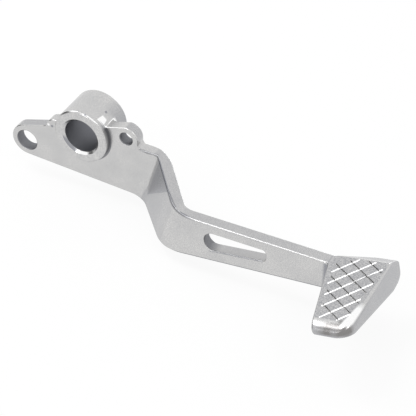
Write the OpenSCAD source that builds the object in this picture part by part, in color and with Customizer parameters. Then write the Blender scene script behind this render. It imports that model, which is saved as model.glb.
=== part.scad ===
// Rear brake pedal of a road motorcycle, one aluminium forging.
// X points forward to the tread, Y points inboard along the pivot, Z points up.
// The origin is on the pivot axis, in the outboard face of the heel plate.

/* [Pivot boss] */
// Bore for the pivot shaft
pivot_bore_d = 16.5; // [14:0.5:19]
// Chamfer at both mouths of the bore
bore_chamfer = 1; // [0.2:0.1:1.5]
// Outside diameter of the boss
boss_d = 26.4; // [25:0.2:28]
// Reach of the boss inboard of the plate's outboard face
tube_len = 16.2; // [10:0.2:30]
// Height of the boss outboard of the plate, as a thrust ring
ring_h = 3.2; // [1:0.2:6]
// Chamfer on the turned edges of the boss
boss_chamfer = 0.6; // [0.2:0.1:1]
// Radius of the cove where the tube meets the plate
cove_r = 2.4; // [1:0.2:4]

/* [Pushrod eye] */
// Distance of the eye behind the pivot
eye_back = 30.7; // [28:0.1:38]
// Distance of the eye below the pivot
eye_drop = 13.8; // [10:0.1:16]
// Hole for the clevis pin
eye_hole_d = 10; // [6:0.5:11]
// Width of metal round the eye
eye_wall = 2.9; // [2:0.1:4]

/* [Spring lug] */
// Distance of the spring hole ahead of the pivot
lug_ahead = 21.6; // [20:0.1:24]
// Distance of the spring hole above the pivot
lug_rise = 4; // [2:0.1:7]
// Hole for the return spring
lug_hole_d = 6; // [3:0.5:7]
// Width of metal round the spring hole
lug_wall = 2.7; // [2:0.1:4]

/* [Heel plate] */
// Thickness of the plate and the arm
plate_t = 5.6; // [4:0.2:8]
// Depth of the lower edge under the pivot, at the first bend
plate_drop = 26.1; // [22:0.1:30]
// Height of the upper edge ahead of the lug
plate_rise = 0.3; // [-2:0.1:2]
// Height of the shoulder between the eye and the boss
shoulder_rise = 2.2; // [0:0.1:5]
// Distance of the shoulder's corner behind the pivot
shoulder_back = 19.6; // [17:0.1:22]
// Radius of the shoulder's corner
shoulder_r = 4.4; // [2:0.2:5]
// Radius that fills the plate's inner corners
web_fillet = 2.2; // [1:0.1:3]

/* [Offset bend] */
// Distance of the first bend ahead of the pivot
bend_start = 35.4; // [32:0.1:42]
// Distance from the first bend to the second
bend_run = 22.7; // [16:0.1:28]
// Outboard offset of the arm from the plate
arm_offset = 27; // [14:0.5:32]
// Forward lean of the bend lines
bend_lean = 17.5; // [5:0.5:25]
// Radius of the outboard crease at the first bend
crease_r = 2.5; // [1:0.5:8]
// Inside radius of the second bend, inboard
bend_r = 7; // [3:0.5:9]
// Outside radius of both bends
bend_outer_r = 19; // [10:0.5:22]
// Radius of the upper edge where it drops into the first bend
drop_r = 8.6; // [4:0.2:12]
// Radius of the shallow corners at the bends, below the first and above the second
sweep_r = 35; // [20:1:40]

/* [Arm] */
// Distance of the tread's heel ahead of the pivot
arm_reach = 129.2; // [120:0.2:150]
// Distance of the arm's upper edge below the pivot
arm_top_drop = 4.4; // [2:0.1:7]
// Height of the arm behind the slot
arm_rear_h = 21.9; // [19:0.1:26]
// Height of the arm at the tread
arm_front_h = 13.6; // [13:0.1:17]
// Radius under the arm, ahead of the second bend
belly_r = 26; // [10:1:40]

/* [Slot] */
// Distance of the slot's rear end ahead of the pivot
slot_ahead = 73.1; // [70:0.1:80]
// Length of the slot
slot_len = 28.7; // [15:0.1:38]
// Width of metal above the slot
slot_cover = 4.7; // [3:0.1:6]
// Height of the slot at its rear end
slot_rear_h = 9.7; // [6:0.1:11]
// Height of the slot at its front end
slot_front_h = 5.6; // [4.2:0.1:7]
// Corner radius at the rear of the slot
slot_rear_r = 4.4; // [1:0.1:4.8]
// Corner radius at the front of the slot
slot_front_r = 1.9; // [0.5:0.1:2]

/* [Tread] */
// Upward slope of the tread towards its front edge
tread_tilt = 11.3; // [0:0.1:20]
// Width of the tread where it joins the arm
tread_w = 24.7; // [22:0.1:30]
// Overhang of the tread outboard of the arm's outboard face
tread_len = 38; // [30:0.1:50]
// Forward sweep of the rear edge, from the arm to the nose
tread_sweep = 8.9; // [4:0.1:10]
// Overhang of the tread inboard of the arm's inboard face, at the front
tread_back = 10.9; // [9:0.1:14]
// Depth to which the tread's rear corner is set back into the arm
tread_root = 0.6; // [0.2:0.1:3]
// Setback of the start of the inboard edge, behind the rear of the tread
heel_behind = 4; // [1:0.1:5]
// Thickness of the tread at the nose
tread_nose_t = 4.4; // [4.3:0.1:8]
// Extra length of the nose at its rear corner
nose_skew = 0.4; // [0:0.1:3]
// Radius over the nose, seen from the front
nose_r = 2.7; // [2:0.1:2.8]
// Radius under the nose, seen from the front
nose_under_r = 1.5; // [0.8:0.1:1.6]
// Radius of the nose's front corner, seen from above
nose_front_r = 6.6; // [3:0.1:9]
// Radius of the nose's rear corner, seen from above
nose_rear_r = 1.8; // [1:0.1:4]
// Extra thickness of the tread at the arm, below the arm's lower edge
tread_sag = 1; // [0.2:0.1:2]
// Thickness of the tread's inboard end
heel_t = 14; // [13:0.1:16]
// Distance by which the inboard end leans back under the tread
heel_tuck = 3.4; // [1:0.1:5]
// Drop of the sloping top of the tread's inboard end
heel_drop = 5.8; // [2:0.1:6.2]
// Radius along the top of that slope
heel_crease_r = 2; // [0.5:0.1:4]
// Radius at the foot of that slope
heel_r = 6; // [2:0.1:6.4]
// Radius under the inboard end of the tread
heel_under_r = 5.2; // [1:0.1:5.4]
// Radius of the tread's front inboard corner, seen from above
heel_corner_r = 2; // [1:0.1:3]

/* [Grip grooves] */
// Spacing of the grooves
groove_pitch = 5.6; // [4:0.1:8]
// Width of a groove at the surface
groove_w = 0.8; // [0.4:0.1:1.4]
// Angle between the two sets of grooves
groove_angle = 91; // [60:1:120]
// Distance of the pattern's middle crossing from the rear of the tread
groove_mid_x = 16; // [12:0.1:20]
// Distance of the pattern's middle crossing outboard of the arm
groove_mid_y = 16.7; // [12:0.1:20]
// Smooth border left beside the grooves
groove_border = 1.2; // [0.5:0.1:3]

/* [Hidden] */
$fn = 96;
EPS = 0.01;
ARC_STEP = 6;
FAR = 90;
CAST_GREY = "silver";

eye = [-eye_back, -eye_drop];
eye_r = eye_hole_d / 2 + eye_wall;
lug = [lug_ahead, lug_rise];
lug_r = lug_hole_d / 2 + lug_wall;
boss_r = boss_d / 2;
bend_angle = atan2(arm_offset, bend_run);
arm_y = -arm_offset;
arm_end = arm_reach + plate_t;
arm_top = -arm_top_drop;
bend_end = bend_start + bend_run;
groove_lean = atan2(tread_sweep / 2, tread_len);
tread_nose_y = arm_y - tread_len;
tread_back_y = arm_y + plate_t + tread_back;

// A point of the side view, carried along a bend line from a distance u measured square to it
function on_bend_line(u, z) = [(u + z * sin(bend_lean)) / cos(bend_lean), z];

// Points of an arc of radius r that rounds corner b between a and c
function corner_arc(a, b, c, r) =
    let (
        to_a = (a - b) / norm(a - b),
        to_c = (c - b) / norm(c - b),
        half = acos(max(-1, min(1, to_a * to_c))) / 2,
        centre = b + (to_a + to_c) / norm(to_a + to_c) * r / sin(half),
        first = b + to_a * r / tan(half) - centre,
        last = b + to_c * r / tan(half) - centre,
        from = atan2(first[1], first[0]),
        sweep = (atan2(last[1], last[0]) - from + 540) % 360 - 180,
        steps = max(1, ceil(abs(sweep) / ARC_STEP))
    )
    [for (i = [0 : steps]) centre + r * [cos(from + sweep * i / steps), sin(from + sweep * i / steps)]];

// A closed outline whose corners, given as [x, y, radius], are rounded
function rounded(corners) =
    let (n = len(corners))
    [for (i = [0 : n - 1])
        let (
            a = corners[(i + n - 1) % n],
            b = corners[i],
            c = corners[(i + 1) % n]
        )
        each b[2] > 0
            ? corner_arc([a[0], a[1]], [b[0], b[1]], [c[0], c[1]], b[2])
            : [[b[0], b[1]]]];

// Carries a side view, drawn in X and Z, through the whole width of the pedal
module along_y(outboard, inboard) {
    translate([0, inboard, 0])
        rotate([90, 0, 0])
            linear_extrude(inboard - outboard) children();
}

// Stands a turned or drilled shape on the pivot's direction, from y upwards
module on_y(x, y, z) {
    translate([x, y, z])
        rotate([-90, 0, 0]) children();
}

// Straight edges of the heel plate, the jog and the arm, seen from the side
module edges_2d() {
    first_low = on_bend_line(bend_start, -plate_drop);
    first_high = on_bend_line(bend_start, plate_rise);
    second_low = on_bend_line(bend_end, arm_top - arm_rear_h);
    second_high = on_bend_line(bend_end, arm_top);
    run_low = first_low - eye;
    low_lean = atan2(run_low[1], run_low[0]) + asin(eye_r / norm(run_low));
    low_tangent = eye + eye_r * [sin(low_lean), -cos(low_lean)];
    shoulder = [-shoulder_back, shoulder_rise];
    step = [-shoulder_back, -web_fillet];
    run_high = step - eye;
    high_lean = atan2(run_high[1], run_high[0]) - asin(eye_r / norm(run_high));
    high_tangent = eye + eye_r * [-sin(high_lean), cos(high_lean)];
    lug_side = lug + [lug_r, 0];
    polygon(rounded([
        [low_tangent[0], low_tangent[1], 0],
        [first_low[0], first_low[1], sweep_r],
        [second_low[0], second_low[1], belly_r],
        [arm_end, arm_top - arm_front_h, 0],
        [arm_end, arm_top, 0],
        [second_high[0], second_high[1], sweep_r],
        [first_high[0], first_high[1], drop_r],
        [lug_side[0], plate_rise, 0],
        [lug_side[0], lug[1], 0],
        [lug[0], lug[1] + lug_r, 0],
        [0, lug[1], 0],
        [0, shoulder_rise, 0],
        [shoulder[0], shoulder[1], shoulder_r],
        [step[0], step[1], 0],
        [high_tangent[0], high_tangent[1], 0],
        [eye[0], eye[1], 0]
    ]));
}

// Whole side view of the plate and arm, with its inner corners filled
module side_2d() {
    offset(r = -web_fillet) offset(r = web_fillet) {
        edges_2d();
        translate(eye) circle(eye_r);
        translate(lug) circle(lug_r);
        circle(boss_r - boss_chamfer);
    }
}

// Plate, offset bend and arm as one strip, seen along the bend lines
module strip_2d() {
    reach = plate_t * tan(bend_angle / 2);
    polygon(rounded([
        [-FAR, 0, 0],
        [bend_start, 0, crease_r],
        [bend_end, arm_y, bend_outer_r],
        [arm_end + FAR, arm_y, 0],
        [arm_end + FAR, arm_y + plate_t, 0],
        [bend_end + reach, arm_y + plate_t, bend_r],
        [bend_start + reach, plate_t, bend_outer_r],
        [-FAR, plate_t, 0]
    ]));
}

// Tapered slot that lightens the arm
module slot_2d() {
    top = arm_top - slot_cover;
    polygon(rounded([
        [slot_ahead, top - slot_rear_h, slot_rear_r],
        [slot_ahead + slot_len, top - slot_front_h, slot_front_r],
        [slot_ahead + slot_len, top, slot_front_r],
        [slot_ahead, top, slot_rear_r]
    ]));
}

// Plate, bend and arm: the side view met by the bent strip
module bent_body() {
    intersection() {
        along_y(arm_y - plate_t, 2 * plate_t) side_2d();
        rotate([0, bend_lean, 0])
            translate([0, 0, -FAR])
                linear_extrude(2 * FAR) strip_2d();
    }
}

// Turned boss: thrust ring outboard, tube inboard, each with a chamfered rim
module boss() {
    on_y(0, 0, 0) rotate_extrude() polygon([
        [0, -ring_h],
        [boss_r - boss_chamfer, -ring_h],
        [boss_r, boss_chamfer - ring_h],
        [boss_r, tube_len - boss_chamfer],
        [boss_r - boss_chamfer, tube_len],
        [0, tube_len]
    ]);
}

// Cove between the tube and the inboard face of the plate, no wider than the plate
module cove() {
    intersection() {
        on_y(0, plate_t - EPS, 0) rotate_extrude() difference() {
            square([boss_r + cove_r, cove_r]);
            translate([boss_r + cove_r, cove_r]) circle(cove_r);
        }
        along_y(plate_t - EPS, plate_t + cove_r) side_2d();
    }
}

// Tread seen from above, in its own tilted plane
module tread_plan_2d() {
    polygon(rounded([
        [-tread_root, arm_y + plate_t / 2, 0],
        [tread_sweep, tread_nose_y - nose_skew, nose_rear_r],
        [tread_w, tread_nose_y, nose_front_r],
        [tread_w, tread_back_y, heel_corner_r],
        [-heel_behind, arm_y + plate_t / 2, 0]
    ]));
}

// Tread seen from the front: level on top, sloping and round inboard, tapered below
module tread_profile_2d() {
    tip_y = tread_nose_y - nose_skew;
    polygon(rounded([
        [arm_y + plate_t, 0, heel_crease_r],
        [tip_y, 0, nose_r],
        [tip_y, -tread_nose_t, nose_under_r],
        [arm_y + plate_t, -arm_front_h - tread_sag, 0],
        [tread_back_y - heel_tuck, -heel_t, heel_under_r],
        [tread_back_y, -heel_drop, heel_r]
    ]));
}

// One V groove, cut into the surface along its own X direction
module groove(place) {
    side = groove_w / sqrt(2);
    translate([-FAR, place, 0])
        rotate([45, 0, 0])
            translate([0, -side / 2, -side / 2]) cube([2 * FAR, side, side]);
}

// Diamond pattern of grooves, kept off the rim of the tread
module grooves() {
    rows = ceil(tread_len / groove_pitch);
    top_y = arm_y + plate_t - groove_border / 2;
    intersection() {
        translate([groove_mid_x, arm_y - groove_mid_y, 0])
            rotate([0, 0, groove_lean])
                for (half = [-1, 1])
                    rotate([0, 0, 90 + half * groove_angle / 2])
                        for (i = [-rows : rows]) groove(i * groove_pitch);
        translate([0, 0, -groove_w])
            linear_extrude(2 * groove_w) polygon([
                [groove_border, top_y],
                [groove_border, arm_y],
                [tread_sweep, tread_nose_y + nose_r + groove_border],
                [tread_w - nose_front_r / 2, tread_nose_y + nose_r + groove_border],
                [tread_w - groove_border, tread_nose_y + nose_front_r + groove_border],
                [tread_w - groove_border, top_y - heel_corner_r],
                [tread_w - heel_corner_r, top_y]
            ]);
    }
}

// Wedge-shaped tread at the end of the arm
module tread() {
    translate([arm_reach, 0, arm_top])
        rotate([0, -tread_tilt, 0]) difference() {
            intersection() {
                translate([0, 0, -FAR / 2]) linear_extrude(FAR) tread_plan_2d();
                translate([-FAR / 2, 0, 0])
                    rotate([90, 0, 90])
                        linear_extrude(FAR) tread_profile_2d();
            }
            grooves();
        }
}

// Straight hole along Y with a small chamfer at both mouths
module drilled(x, z, d, outboard, inboard, chamfer) {
    on_y(x, outboard - EPS, z)
        cylinder(d = d, h = inboard - outboard + 2 * EPS);
    on_y(x, outboard - EPS, z)
        cylinder(d1 = d + 2 * (chamfer + EPS), d2 = d, h = chamfer + EPS);
    on_y(x, inboard - chamfer, z)
        cylinder(d1 = d, d2 = d + 2 * (chamfer + EPS), h = chamfer + EPS);
}

// The whole pedal
module brake_pedal() {
    color(CAST_GREY) difference() {
        union() {
            bent_body();
            boss();
            cove();
            tread();
        }
        drilled(0, 0, pivot_bore_d, -ring_h, tube_len, bore_chamfer);
        drilled(eye[0], eye[1], eye_hole_d, 0, plate_t, boss_chamfer / 2);
        drilled(lug[0], lug[1], lug_hole_d, 0, plate_t, boss_chamfer / 2);
        along_y(arm_y - plate_t, arm_y + 2 * plate_t) slot_2d();
    }
}

brake_pedal();
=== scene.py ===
"""Rear brake pedal of a road motorcycle: the looks of its one aluminium forging.

X points forward to the tread, Y inboard along the pivot, Z up. The origin is on the pivot axis, in the
outboard face of the heel plate. Sizes are in millimetres here and become metres when a mesh is made.
"""

import logging
import math
from dataclasses import dataclass, field
from enum import Enum
from typing import Any, Sequence

import bpy
import numpy as np
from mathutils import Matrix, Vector
from mathutils.geometry import delaunay_2d_cdt

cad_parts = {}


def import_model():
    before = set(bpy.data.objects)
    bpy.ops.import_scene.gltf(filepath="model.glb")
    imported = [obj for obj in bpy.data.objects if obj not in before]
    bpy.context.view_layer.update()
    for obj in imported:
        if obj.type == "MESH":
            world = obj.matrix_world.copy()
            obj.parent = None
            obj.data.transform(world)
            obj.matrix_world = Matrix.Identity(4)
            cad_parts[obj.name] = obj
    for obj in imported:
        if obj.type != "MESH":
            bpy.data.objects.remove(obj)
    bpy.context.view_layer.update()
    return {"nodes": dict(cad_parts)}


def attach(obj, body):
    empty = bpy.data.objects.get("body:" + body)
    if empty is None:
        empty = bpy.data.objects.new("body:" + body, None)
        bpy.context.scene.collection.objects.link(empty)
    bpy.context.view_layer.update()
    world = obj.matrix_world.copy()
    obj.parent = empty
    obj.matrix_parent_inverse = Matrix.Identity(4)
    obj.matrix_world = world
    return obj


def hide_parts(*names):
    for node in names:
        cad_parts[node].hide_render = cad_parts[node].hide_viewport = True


LOG = logging.getLogger("brake_pedal")
MM = 0.001
Array = np.ndarray
Colour = tuple[float, float, float, float]
WHITE: Colour = (1.0, 1.0, 1.0, 1.0)
FAR = 300.0  # Farther than the pedal reaches either way


class Cut(Enum):
    """The ways in which one solid works on another."""

    JOIN = "UNION"
    REMOVE = "DIFFERENCE"
    KEEP_COMMON = "INTERSECT"


class Edge(Enum):
    """The straight edges of the pedal's side view."""

    SOLE = "lower edge of the plate"
    BACK = "upper edge of the plate behind the boss"
    BEND = "upper edge of the slanted run"
    BELLY = "lower edge of the arm"


# Plane curves


def arc(centre: Sequence[float], radius: float, start: float, stop: float, step: float = 3.0) -> Array:
    """Points of an arc: centre + radius * (cos t, sin t), with t from start to stop in degrees.

    Args:
        centre: The arc's centre.
        radius: Its radius.
        start: Angle of the first point, in degrees.
        stop: Angle of the last point, in degrees.
        step: The widest angle between two points, in degrees.

    Returns:
        An array of points, one row each.
    """
    count = max(2, int(math.ceil(abs(stop - start) / step)) + 1)
    angle = np.radians(np.linspace(start, stop, count))
    return np.asarray(centre) + radius * np.stack([np.cos(angle), np.sin(angle)], axis=1)


def swing(first: Array, last: Array) -> tuple[float, float]:
    """Angles of an arc from one direction to another, the short way round.

    Args:
        first: Direction in which the arc starts.
        last: Direction in which it ends.

    Returns:
        The angles of its start and its end, in degrees; the second may lie past 180.
    """
    start = math.degrees(math.atan2(first[1], first[0]))
    turn = (math.degrees(math.atan2(last[1], last[0])) - start + 540) % 360 - 180
    return start, start + turn


def touching(centre: Array, radius: float, point: Sequence[float], side: int) -> Array:
    """Point at which a line from another point touches a circle.

    It lies at an angle of acos(radius / distance) from the line to the centre.

    Args:
        centre: The circle's centre.
        radius: Its radius.
        point: Where the line comes from.
        side: -1 or 1, for the touching point clockwise or counterclockwise of the line.

    Returns:
        The touching point.
    """
    run = np.asarray(point) - centre
    angle = math.atan2(run[1], run[0]) + side * math.acos(radius / np.linalg.norm(run))
    return centre + radius * np.array([math.cos(angle), math.sin(angle)])


def rounded(corners: Sequence[tuple[float, float, float]], closed: bool = True) -> Array:
    """Outline through corners, each given as x, y and the radius that rounds it.

    Each radius r makes an arc whose centre lies on the corner's bisector, r / sin(half the angle) from it.

    Args:
        corners: The corners in order.
        closed: Whether the last corner runs on to the first.

    Returns:
        An array of points, one row each.
    """
    points = np.array([corner[:2] for corner in corners], dtype=float)
    parts: list[Array] = []
    for index, corner in enumerate(corners):
        here = points[index]
        end = not closed and index in (0, len(corners) - 1)
        if corner[2] <= 0 or end:
            parts.append(here[None, :])
            continue
        back = points[index - 1] - here
        ahead = points[(index + 1) % len(corners)] - here
        back /= np.linalg.norm(back)
        ahead /= np.linalg.norm(ahead)
        half = math.acos(float(np.clip(back @ ahead, -1, 1))) / 2
        middle = back + ahead
        centre = here + middle / np.linalg.norm(middle) * corner[2] / math.sin(half)
        first = here + back * corner[2] / math.tan(half) - centre
        last = here + ahead * corner[2] / math.tan(half) - centre
        parts.append(arc(centre, corner[2], *swing(first, last)))
    return np.concatenate(parts)


def evenly(path: Array, spacing: float) -> Array:
    """Closed path resampled at equal steps of its own length.

    Args:
        path: The path's points, the last running on to the first.
        spacing: The step wanted.

    Returns:
        The new points.
    """
    loop = np.vstack([path, path[:1]])
    lengths = np.linalg.norm(np.diff(loop, axis=0), axis=1)
    keep = np.concatenate([[True], lengths > 1e-6])
    loop = loop[keep]
    run = np.concatenate([[0.0], np.cumsum(np.linalg.norm(np.diff(loop, axis=0), axis=1))])
    count = int(round(run[-1] / spacing))
    stations = np.linspace(0, run[-1], count, endpoint=False)
    return np.stack([np.interp(stations, run, loop[:, 0]), np.interp(stations, run, loop[:, 1])], axis=1)


def outward(path: Array) -> Array:
    """Unit normals of a closed counterclockwise path: the central difference turned by a right angle.

    Args:
        path: The path's points.

    Returns:
        One normal for each point.
    """
    along = np.roll(path, -1, axis=0) - np.roll(path, 1, axis=0)
    along /= np.linalg.norm(along, axis=1, keepdims=True)
    return np.stack([along[:, 1], -along[:, 0]], axis=1)


def filled_corners(path: Array, radius: float, touch: float = 0.985, step: float = 6.0) -> Array:
    """Closed path whose inner corners are filled as by a ball of the given radius rolled round it.

    A ball's centre lies at path + radius * normal. Where another point of the path is nearer to it than the
    radius, the ball doesn't reach, and an arc about the last centre that fits bridges the gap.

    Args:
        path: Evenly spaced counterclockwise points.
        radius: The ball's radius.
        touch: The share of the radius at which a point still counts as touched.
        step: The widest angle between two points of a bridging arc, in degrees.

    Returns:
        The filled path.
    """
    centres = path + radius * outward(path)
    gap = np.sqrt(((centres[:, None, :] - path[None, :, :]) ** 2).sum(axis=2)).min(axis=1)
    fits = gap > radius * touch
    first = int(np.argmax(fits & np.roll(fits, 1)))
    path, centres, fits = (np.roll(a, -first, axis=0) for a in (path, centres, fits))
    edges = np.flatnonzero(np.diff(fits.astype(int)))
    pieces: list[Array] = []
    start = 0
    for left, right in zip(edges[::2], edges[1::2]):
        pieces.append(path[start : left + 1])
        centre = (centres[left] + centres[right + 1]) / 2
        bridge = arc(centre, radius, *swing(path[left] - centre, path[right + 1] - centre), step)
        pieces.append(bridge[1:-1])
        start = right + 1
    pieces.append(path[start:])
    return np.concatenate(pieces)


# Meshes


@dataclass
class Shell:
    """Points and faces of a closed surface, in millimetres."""

    points: Array
    faces: list[Array]

    def volume(self) -> float:
        """Works out the signed volume: the sum over triangles of a . (b x c) / 6.

        Returns:
            The volume, negative where the faces point inwards.
        """
        total = 0.0
        for block in self.faces:
            for k in range(1, block.shape[1] - 1):
                a, b, c = (self.points[block[:, i]] for i in (0, k, k + 1))
                total += float(np.einsum("ij,ij->i", a, np.cross(b, c)).sum()) / 6
        return total

    def mesh(self, name: str) -> bpy.types.Object:
        """Makes the Blender object, with its faces turned outwards.

        Args:
            name: The object's name.

        Returns:
            The object, linked to the scene.
        """
        inward = self.volume() < 0
        blocks = [block[:, ::-1] if inward else block for block in self.faces]
        mesh = bpy.data.meshes.new(name)
        faces = [face for block in blocks for face in block.tolist()]
        mesh.from_pydata((self.points * MM).tolist(), [], faces)
        mesh.validate()
        mesh.update()
        obj = bpy.data.objects.new(name, mesh)
        bpy.context.scene.collection.objects.link(obj)
        return obj


def grid_faces(rows: int, columns: int, wrap_rows: bool, wrap_columns: bool, first: int = 0) -> Array:
    """Four-sided faces between neighbours of a grid of points numbered row by row.

    Args:
        rows: Number of rows.
        columns: Number of columns.
        wrap_rows: Whether the last row joins the first.
        wrap_columns: Whether the last column joins the first.
        first: Number of the first point.

    Returns:
        One row of four point numbers for each face.
    """
    down, across = np.arange(rows if wrap_rows else rows - 1), np.arange(columns if wrap_columns else columns - 1)
    i, j = (a.ravel() for a in np.meshgrid(down, across, indexing="ij"))
    here, below, right = i * columns, (i + 1) % rows * columns, (j + 1) % columns
    return first + np.stack([here + j, here + right, below + right, below + j], axis=1)


def capped(points: Array, ends: Array) -> Shell:
    """Closed surface of a grid whose columns run round: each end row is closed by a fan about a middle point.

    Args:
        points: The grid's points, rows by columns by three.
        ends: The middle points of the first and the last row.

    Returns:
        The closed surface.
    """
    rows, columns = points.shape[:2]
    k = np.arange(columns)
    after = (k + 1) % columns
    first = np.stack([np.full(columns, rows * columns), after, k], axis=1)
    base = (rows - 1) * columns
    last = np.stack([np.full(columns, rows * columns + 1), base + k, base + after], axis=1)
    return Shell(np.vstack([points.reshape(-1, 3), ends]), [grid_faces(rows, columns, False, True), first, last])


def turned(profile: Array, x: float, z: float, count: int = 144) -> Shell:
    """Solid of revolution about the Y direction through (x, z), closed at both ends of its profile.

    A point of the profile (r, y) goes to (x + r cos t, y, z + r sin t), with t once round.

    Args:
        profile: Radius and y, from one end to the other.
        x: Place of the axis.
        z: Place of the axis.
        count: Number of steps round the axis.

    Returns:
        The closed surface.
    """
    t = np.linspace(0, 2 * math.pi, count, endpoint=False)
    r, y = profile[:, 0][:, None], profile[:, 1][:, None]
    rings = np.stack([x + r * np.cos(t), y + 0 * t, z + r * np.sin(t)], axis=2)
    return capped(rings, np.array([[x, profile[0, 1], z], [x, profile[-1, 1], z]]))


def combine(target: bpy.types.Object, tool: bpy.types.Object, how: Cut) -> bpy.types.Object:
    """Works one solid on another, keeps the result in the target and removes the tool.

    The manifold solver works first, and the exact one takes over where it leaves nothing.

    Args:
        target: The solid that stays.
        tool: The solid that is used up.
        how: Whether the tool is joined, removed or kept where both are.

    Returns:
        The target with its new mesh.
    """
    modifier = target.modifiers.new("work", "BOOLEAN")
    modifier.operation = how.value
    modifier.object = tool
    for solver in ("MANIFOLD", "EXACT"):
        modifier.solver = solver
        result = bpy.data.meshes.new_from_object(target.evaluated_get(bpy.context.evaluated_depsgraph_get()))
        if len(result.polygons):
            break
    target.modifiers.clear()
    old = target.data
    target.data = result
    bpy.data.meshes.remove(old)
    bpy.data.objects.remove(tool)
    return target


# The pedal's own forms


@dataclass
class HeelAndArm:
    """Heel plate, leaning double bend and arm: one strip of even thickness with soft edges."""

    thickness: float = 5.6
    edge: float = 0.6
    eye: tuple[float, float] = (-30.7, -13.8)
    eye_radius: float = 7.9
    lug: tuple[float, float] = (21.6, 4.0)
    lug_radius: float = 5.7
    boss_radius: float = 12.6
    plate_drop: float = 26.1
    plate_rise: float = 0.3
    shoulder: tuple[float, float] = (-19.6, 2.2)
    shoulder_radius: float = 4.4
    inner_fillet: float = 2.2
    bend_start: float = 35.4
    bend_run: float = 22.7
    arm_y: float = -27.0
    lean: float = 17.5
    crease_radius: float = 2.5
    low_crease_radius: float = 13.0
    crease_spread: tuple[float, float] = (-14.0, -25.0)
    bend_radius: float = 7.0
    outer_bend_radius: float = 19.0
    drop_radius: float = 8.6
    sweep_radius: float = 35.0
    belly_radius: float = 26.0
    arm_reach: float = 129.2
    arm_top: float = -4.4
    arm_rear_height: float = 21.9
    arm_front_height: float = 13.6
    tip_radius: float = 1.5
    fine_step: float = 0.1
    step: float = 0.4

    @property
    def bend_end(self) -> float:
        """Where the slanted run ends, measured across the bend lines."""
        return self.bend_start + self.bend_run

    def on_bend_line(self, u: float, z: float) -> tuple[float, float]:
        """Point of the side view on the bend line u, at height z: x = (u + z sin lean) / cos lean."""
        lean = math.radians(self.lean)
        return (u + z * math.sin(lean)) / math.cos(lean), z

    def ends(self, edge: Edge) -> tuple[Array, Array]:
        """Finds the rear and the front end of a straight edge, before its corners are rounded.

        Args:
            edge: The edge.

        Returns:
            Both ends, in x and z.
        """
        if edge is Edge.BEND:
            rear, front = (self.bend_start, self.plate_rise), (self.bend_end, self.arm_top)
            return np.array(self.on_bend_line(*rear)), np.array(self.on_bend_line(*front))
        if edge is Edge.BELLY:
            rear = self.on_bend_line(self.bend_end, self.arm_top - self.arm_rear_height)
            front = (self.arm_reach + self.thickness, self.arm_top - self.arm_front_height)
            return np.array(rear), np.array(front)
        sole = edge is Edge.SOLE
        low, notch = self.on_bend_line(self.bend_start, -self.plate_drop), (self.shoulder[0], -self.inner_fillet)
        front = np.array(low if sole else notch)
        return touching(np.array(self.eye), self.eye_radius, front, -1 if sole else 1), front

    def side_outline(self) -> Array:
        """Outline of the side view in x and z, counterclockwise, with its inner corners filled.

        Straight runs between rounded corners, and arcs about the eye, the lug and the pivot.

        Returns:
            The outline's points, evenly spaced.
        """
        sole, back, bend, belly = (self.ends(edge) for edge in Edge)
        eye, lug = np.array(self.eye), np.array(self.lug)
        lug_side = lug[0] + self.lug_radius
        slope = self.lug_radius / lug[0]
        # Where the line z = lug z + slope x leaves the boss
        a, b, c = 1 + slope**2, 2 * slope * lug[1], lug[1] ** 2 - self.boss_radius**2
        x = (-b + math.sqrt(b * b - 4 * a * c)) / (2 * a)
        boss_from = math.degrees(math.atan2(lug[1] + slope * x, x))
        boss_to = 180 - math.degrees(math.asin(self.shoulder[1] / self.boss_radius))
        lower = rounded(
            [
                (*sole[0], 0),
                (*sole[1], self.sweep_radius),
                (*belly[0], self.belly_radius),
                (*belly[1], self.tip_radius),
                (belly[1][0], self.arm_top, self.tip_radius),
                (*bend[1], self.sweep_radius),
                (*bend[0], self.drop_radius),
                (lug_side, self.plate_rise, 0),
            ],
            closed=False,
        )
        step = rounded(
            [(-self.boss_radius, self.shoulder[1], 0), (*self.shoulder, self.shoulder_radius), (*back[1], 0)],
            closed=False,
        )
        path = np.concatenate(
            [
                lower,
                arc(lug, self.lug_radius, 0, 90),
                arc((0, 0), self.boss_radius, boss_from, boss_to),
                step[1:],
                arc(eye, self.eye_radius, *swing(back[0] - eye, sole[0] - eye)),
            ]
        )
        return evenly(filled_corners(evenly(path, self.fine_step), self.inner_fillet), self.step)

    def face(self, x: Array, z: Array, inboard: bool) -> Array:
        """Y of the outboard or inboard face: the bent strip's line, read at u = x cos lean - z sin lean.

        Args:
            x: Places along the pedal.
            z: Heights.
            inboard: Whether the inboard face is asked for.

        Returns:
            The y of each place.
        """
        lean = math.radians(self.lean)
        u = x * math.cos(lean) - z * math.sin(lean)
        t = self.thickness if inboard else 0.0
        shift = t * math.tan(math.atan2(-self.arm_y, self.bend_run) / 2)

        def strip_line(first_radius: float, second_radius: float) -> Array:
            """Reads the strip's line at each u.

            Args:
                first_radius: Radius of the first bend.
                second_radius: Radius of the second bend.

            Returns:
                The y of each place.
            """
            first = (self.bend_start + shift, t, first_radius)
            second = (self.bend_end + shift, self.arm_y + t, second_radius)
            bent = rounded([(-FAR, t, 0), first, second, (FAR, self.arm_y + t, 0)], closed=False)
            return np.interp(u, bent[:, 0], bent[:, 1])

        if inboard:
            return strip_line(self.outer_bend_radius, self.bend_radius)
        y = strip_line(self.crease_radius, self.outer_bend_radius)
        # The crease widens downwards by the smooth step 3 s^2 - 2 s^3
        upper, lower = self.crease_spread
        share = np.clip((upper - z) / (upper - lower), 0, 1)
        return y + (strip_line(self.low_crease_radius, self.outer_bend_radius) - y) * share**2 * (3 - 2 * share)

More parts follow.
